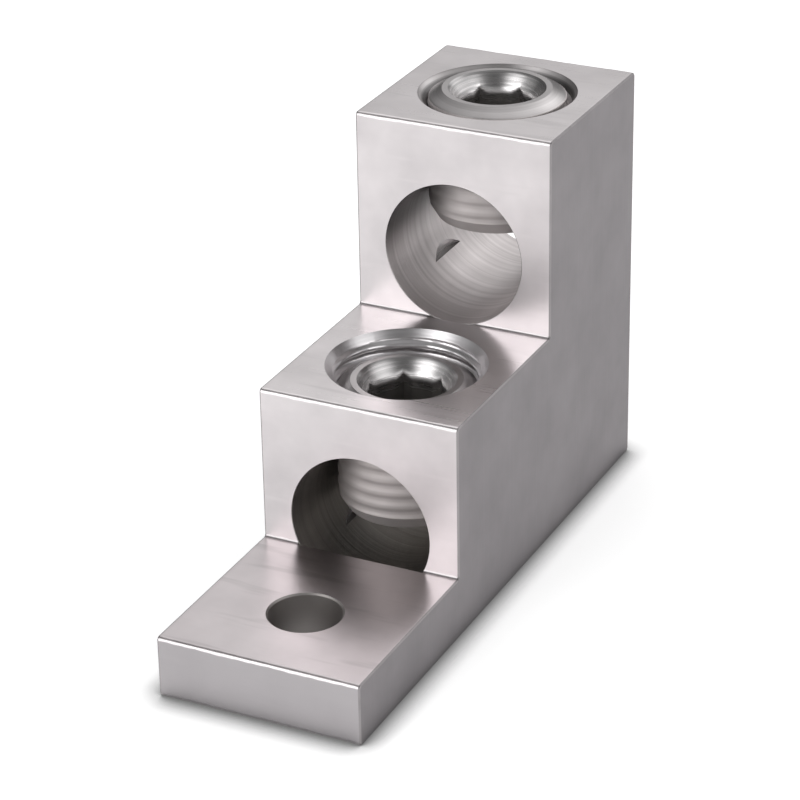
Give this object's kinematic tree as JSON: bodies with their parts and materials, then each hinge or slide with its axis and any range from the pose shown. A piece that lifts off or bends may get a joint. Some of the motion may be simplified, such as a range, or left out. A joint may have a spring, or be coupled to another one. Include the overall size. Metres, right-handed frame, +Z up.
{
  "type": "mechanical lug",
  "caption": "Stepped aluminium cable lug with a flat stud tongue, stacked conductor bores and hex-socket set screws that clamp the conductors.",
  "frame": {"origin": "centre of the stud hole, on the bottom face of the tongue", "axes": "+Z up along the stud hole, +Y from the tongue to the back where the conductors enter, +X across the width"},
  "size_m": [0.0382, 0.1165, 0.079],
  "materials": {
    "tin_plated_block": "satin",
    "tin_plated_screw": "satin"
  },
  "bodies": {
    "block": {"lug_body": "tin_plated_block"},
    "upper_screw": {"upper_set_screw": "tin_plated_screw"},
    "lower_screw": {"lower_set_screw": "tin_plated_screw"}
  },
  "joints": [
    {"name": "upper_screw_travel", "type": "slide", "parent": "block", "child": "upper_screw", "axis": [0, 0, 1], "range_m": [-0.008, 0.012]},
    {"name": "lower_screw_travel", "type": "slide", "parent": "block", "child": "lower_screw", "axis": [0, 0, 1], "range_m": [-0.003, 0.017]}
  ]
}
